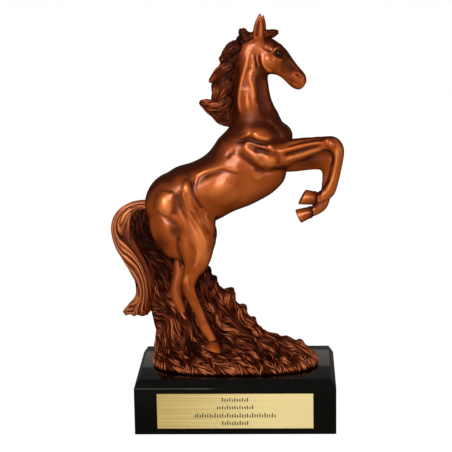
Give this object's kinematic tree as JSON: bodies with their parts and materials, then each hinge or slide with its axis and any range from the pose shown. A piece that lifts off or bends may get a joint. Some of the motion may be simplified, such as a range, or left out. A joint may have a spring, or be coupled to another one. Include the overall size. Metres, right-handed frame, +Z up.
{
  "type": "horse trophy",
  "caption": "Rearing horse cast with a grassy mound, bronzed, on a black chamfered plinth with a brushed name plate.",
  "frame": {"origin": "middle of the plinth's underside", "axes": "+Z up; +X the way the horse faces; -Y the front, where the plate is"},
  "size_m": [0.1512, 0.0813, 0.2671],
  "materials": {
    "bronzed_resin": "cast resin, glossy antique bronze paint, near black in the hair and grass",
    "black_gloss": "high gloss black lacquer",
    "brushed_gold": "brushed along its length, satin gold"
  },
  "bodies": {
    "root": {"horse_casting": "bronzed_resin", "plinth": "black_gloss", "name_plate": "brushed_gold"}
  },
  "joints": []
}
